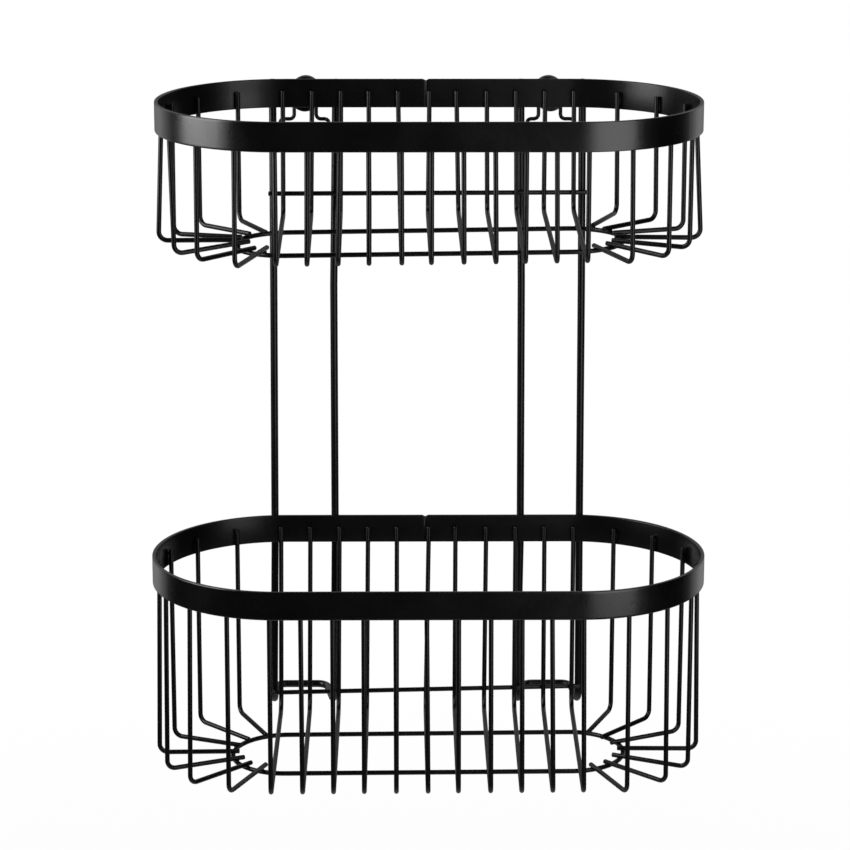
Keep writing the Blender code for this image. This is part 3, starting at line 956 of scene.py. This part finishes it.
def wall_screw(name, centre):
    """A pan-head screw in the boss, with a cross recess, as far as the wall plane."""
    seat = BOSS_LENGTH - BOSS_RECESS_DEPTH
    under_head = seat + SCREW_GAP
    crown = seat + SCREW_HEAD_HEIGHT
    head = SCREW_HEAD / 2
    shank = SCREW_SHANK / 2
    profile = [(SCREW_AXIS, crown)]
    for step in range(1, SCREW_DOME_STEPS + 1):
        angle = math.pi / 2 * step / SCREW_DOME_STEPS
        profile.append((head * math.sin(angle), crown - SCREW_DOME * (1 - math.cos(angle))))
    profile += [(head, under_head), (shank, under_head)]
    profile += [(shank, SCREW_FROM_WALL), (SCREW_AXIS, SCREW_FROM_WALL)]
    screw = turned(name, profile, centre, SCREW_TURN_STEPS)
    cutters = []
    for number, turn in enumerate((RECESS_TURN, RECESS_TURN + math.pi / 2)):
        cutters.append(cross_blade(f"{name}_blade_{number}", centre, crown, turn))
        cut = screw.modifiers.new("Recess", "BOOLEAN")
        cut.object = cutters[-1]
        cut.operation = "DIFFERENCE"
    depsgraph = bpy.context.evaluated_depsgraph_get()
    mesh = bpy.data.meshes.new_from_object(screw.evaluated_get(depsgraph))
    screw.modifiers.clear()
    screw.data = mesh
    for cutter in cutters:
        bpy.data.objects.remove(cutter, do_unlink=True)
    screw.data.set_sharp_from_angle(angle=math.radians(TURNED_CREASE))
    screw.data.materials.clear()
    screw.data.materials.append(SCREW_STEEL)
    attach(screw, "wall_side")


def cross_blade(name, centre, crown, turn):
    """One tapering blade of the driver that the cross recess fits."""
    verts = []
    for depth, half_long, half_wide in RECESS_BLADE:
        for long_side, wide_side in ((-1, -1), (1, -1), (1, 1), (-1, 1)):
            long = long_side * half_long
            wide = wide_side * half_wide
            x = long * math.cos(turn) - wide * math.sin(turn)
            z = long * math.sin(turn) + wide * math.cos(turn)
            verts.append(Vector((centre.x + x, centre.y - (crown - depth), centre.z + z)))
    faces = [(0, 3, 2, 1), (4, 5, 6, 7), (0, 1, 5, 4), (1, 2, 6, 5), (2, 3, 7, 6), (3, 0, 4, 7)]
    blade = mesh_object(name, verts, faces)
    blade.hide_render = True
    return blade


def new_material(name):
    """A material, its node tree and its main shader."""
    material = bpy.data.materials.new(name)
    material.use_nodes = True
    tree = material.node_tree
    return material, tree, tree.nodes["Principled BSDF"]


def object_place(tree):
    return tree.nodes.new("ShaderNodeTexCoord").outputs["Object"]


def noise(tree, place, name, scale, detail):
    node = tree.nodes.new("ShaderNodeTexNoise")
    node.name = name
    node.inputs["Scale"].default_value = scale
    node.inputs["Detail"].default_value = detail
    tree.links.new(place, node.inputs["Vector"])
    return node.outputs["Fac"]


def stretch(tree, value, low, high, from_low=NOISE_LOW, from_high=NOISE_HIGH):
    """A value's range, spread from low to high."""
    node = tree.nodes.new("ShaderNodeMapRange")
    node.inputs["From Min"].default_value = from_low
    node.inputs["From Max"].default_value = from_high
    node.inputs["To Min"].default_value = low
    node.inputs["To Max"].default_value = high
    tree.links.new(value, node.inputs["Value"])
    return node.outputs["Result"]


def maths(tree, operation, first, second):
    """A Math node's result for two inputs, each a number or a socket."""
    node = tree.nodes.new("ShaderNodeMath")
    node.operation = operation
    for socket, value in zip(node.inputs, (first, second)):
        if isinstance(value, (int, float)):
            socket.default_value = value
        else:
            tree.links.new(value, socket)
    return node.outputs["Value"]


def blended(tree, share, first, second):
    """Two colours, mixed by a share."""
    node = tree.nodes.new("ShaderNodeMix")
    node.data_type = "RGBA"
    node.inputs["A"].default_value = (*first, 1)
    node.inputs["B"].default_value = (*second, 1)
    tree.links.new(share, node.inputs["Factor"])
    return node.outputs["Result"]


def bump(tree, height, strength, distance, normal=None):
    node = tree.nodes.new("ShaderNodeBump")
    node.inputs["Strength"].default_value = strength
    node.inputs["Distance"].default_value = distance
    tree.links.new(height, node.inputs["Height"])
    if normal:
        tree.links.new(normal, node.inputs["Normal"])
    return node.outputs["Normal"]


def powder_coat(name, dark, light, roughness, peel_strength, specular):
    """Satin black powder coat: faint orange peel, finer grain, slightly uneven shade and gloss."""
    material, tree, shader = new_material(name)
    shader.inputs["Specular IOR Level"].default_value = specular
    place = object_place(tree)
    patches = noise(tree, place, "Patches", *PATCHES)
    peel = noise(tree, place, "Orange peel", *PEEL)
    grain = noise(tree, place, "Grain", *GRAIN)
    shade = blended(tree, stretch(tree, patches, 0, 1), (dark,) * 3, (light,) * 3)
    tree.links.new(shade, shader.inputs["Base Color"])
    patch_gloss = stretch(tree, patches, roughness - PATCH_GLOSS, roughness + PATCH_GLOSS)
    grain_gloss = stretch(tree, grain, -GRAIN_GLOSS, GRAIN_GLOSS)
    gloss = maths(tree, "ADD", patch_gloss, grain_gloss)
    tree.links.new(gloss, shader.inputs["Roughness"])
    relief = bump(tree, peel, peel_strength, PEEL_HEIGHT)
    relief = bump(tree, grain, peel_strength * GRAIN_STRENGTH, GRAIN_HEIGHT, relief)
    tree.links.new(relief, shader.inputs["Normal"])
    return material


def screw_steel():
    """Plain steel with fine scuffs."""
    material, tree, shader = new_material("screw_steel")
    shader.inputs["Metallic"].default_value = 1.0
    shader.inputs["Base Color"].default_value = (*STEEL_COLOUR, 1)
    scuffs = noise(tree, object_place(tree), "Scuffs", *SCUFFS)
    tree.links.new(stretch(tree, scuffs, *STEEL_ROUGHNESS), shader.inputs["Roughness"])
    tree.links.new(bump(tree, scuffs, SCUFF_STRENGTH, GRAIN_HEIGHT), shader.inputs["Normal"])
    return material


def stage():
    """A round white floor well below the caddy. It keeps the shadow and fades at its edge."""
    level = cad_box[0][2] - FLOOR_DROP
    verts = []
    for side in range(FLOOR_SIDES):
        turn = 2 * math.pi * side / FLOOR_SIDES
        verts.append(Vector((FLOOR_RADIUS * math.cos(turn), FLOOR_RADIUS * math.sin(turn), level)))
    floor = mesh_object("floor", verts, [tuple(range(FLOOR_SIDES))])
    material, tree, shader = new_material("floor_white")
    shader.inputs["Roughness"].default_value = FLOOR_ROUGHNESS
    shader.inputs["Specular IOR Level"].default_value = 0.0
    flat = tree.nodes.new("ShaderNodeVectorMath")
    flat.operation = "MULTIPLY"
    flat.inputs[1].default_value = (1, 1, 0)
    tree.links.new(object_place(tree), flat.inputs[0])
    length = tree.nodes.new("ShaderNodeVectorMath")
    length.operation = "LENGTH"
    tree.links.new(flat.outputs["Vector"], length.inputs[0])
    edge = stretch(tree, length.outputs["Value"], 0, 1, FLOOR_FADE_START, FLOOR_RADIUS)
    tree.links.new(blended(tree, edge, FLOOR_COLOUR, (0, 0, 0)), shader.inputs["Base Color"])
    seen = seen_rays(tree)
    share = maths(tree, "MULTIPLY", seen, stretch(tree, edge, FLOOR_GLOW, 1, 0, 1))
    glow = tree.nodes.new("ShaderNodeEmission")
    mix = tree.nodes.new("ShaderNodeMixShader")
    tree.links.new(share, mix.inputs["Fac"])
    tree.links.new(shader.outputs["BSDF"], mix.inputs[1])
    tree.links.new(glow.outputs["Emission"], mix.inputs[2])
    tree.links.new(mix.outputs["Shader"], tree.nodes["Material Output"].inputs["Surface"])
    floor.data.materials.append(material)


def seen_rays(tree):
    """1 for rays that show something to the viewer, straight or through glass."""
    path = tree.nodes.new("ShaderNodeLightPath").outputs
    return maths(tree, "MAXIMUM", path["Is Camera Ray"], path["Is Transmission Ray"])


def world_light():
    """White where it is seen. In reflections the backdrop is white and the studio is dim."""
    world = bpy.data.worlds.new("studio")
    world.use_nodes = True
    bpy.context.scene.world = world
    tree = world.node_tree
    background = tree.nodes["Background"]
    direction = tree.nodes.new("ShaderNodeTexCoord").outputs["Generated"]
    split = tree.nodes.new("ShaderNodeSeparateXYZ")
    tree.links.new(direction, split.inputs["Vector"])
    rearward = split.outputs["Y"]
    outer = stretch(tree, rearward, DIM_STUDIO, BACKDROP_LEVEL, *BACKDROP_EDGE)
    inner = stretch(tree, rearward, 1, BACKDROP_MIDDLE, *BACKDROP_MIDDLE_EDGE)
    backdrop = maths(tree, "MULTIPLY", outer, inner)
    path = tree.nodes.new("ShaderNodeLightPath").outputs
    mirrored = maths(tree, "MULTIPLY", path["Is Glossy Ray"], backdrop)
    filled = maths(tree, "MULTIPLY", path["Is Diffuse Ray"], FILL_LIGHT)
    lit = maths(tree, "MAXIMUM", mirrored, filled)
    level = maths(tree, "MAXIMUM", seen_rays(tree), lit)
    tree.links.new(level, background.inputs["Strength"])
    background.inputs["Color"].default_value = (1, 1, 1, 1)


def softbox(name, azimuth, distance, width, low, high, radiance):
    """An upright soft light that faces the caddy."""
    height = high - low
    data = bpy.data.lights.new(name, "AREA")
    data.shape = "RECTANGLE"
    data.size = width
    data.size_y = height
    data.energy = radiance * math.pi * width * height
    light = bpy.data.objects.new(name, data)
    around = math.radians(azimuth)
    away = Vector((math.sin(around), -math.cos(around), 0))
    middle = Vector((0, (cad_box[0][1] + cad_box[1][1]) / 2, (low + high) / 2))
    light.location = middle + away * distance
    light.rotation_euler = away.to_track_quat("Z", "Y").to_euler()
    light.visible_camera = False
    bpy.context.scene.collection.objects.link(light)


def camera():
    data = bpy.data.cameras.new("camera")
    data.sensor_width = SENSOR
    data.lens = FOCAL_PIXELS / PHOTO_SIDE * SENSOR
    obj = bpy.data.objects.new("camera", data)
    turn = Matrix.Rotation(-CAMERA_YAW, 4, "Z")
    tilt = Matrix.Rotation(math.pi / 2 - CAMERA_PITCH, 4, "X")
    roll = Matrix.Rotation(CAMERA_ROLL, 4, "Z")
    obj.matrix_world = Matrix.Translation(CAMERA_PLACE) @ turn @ tilt @ roll
    bpy.context.scene.collection.objects.link(obj)
    bpy.context.scene.camera = obj


COATS = {slot: powder_coat(slot, *look) for slot, look in COAT_LOOKS.items()}
BAND_INSIDE = powder_coat("band_inside_coat", *BAND_INSIDE_LOOK)
SCREW_STEEL = screw_steel()

tiers = [Basket("upper"), Basket("lower")]
for tier in tiers:
    rim_bar(tier)
    wires_across(tier)
    end_wires(tier)
    floor_ring(tier)
    cross_wire(tier)
    basket_welds(tier)
rod_welds(tiers)
for hairpin_side in SIDE_NAMES:
    hairpin(hairpin_side)
    boss(hairpin_side)

stage()
world_light()
for softbox_name, softbox_look in SOFTBOXES.items():
    softbox(softbox_name, *softbox_look)
camera()
bpy.context.scene.view_settings.view_transform = "Standard"
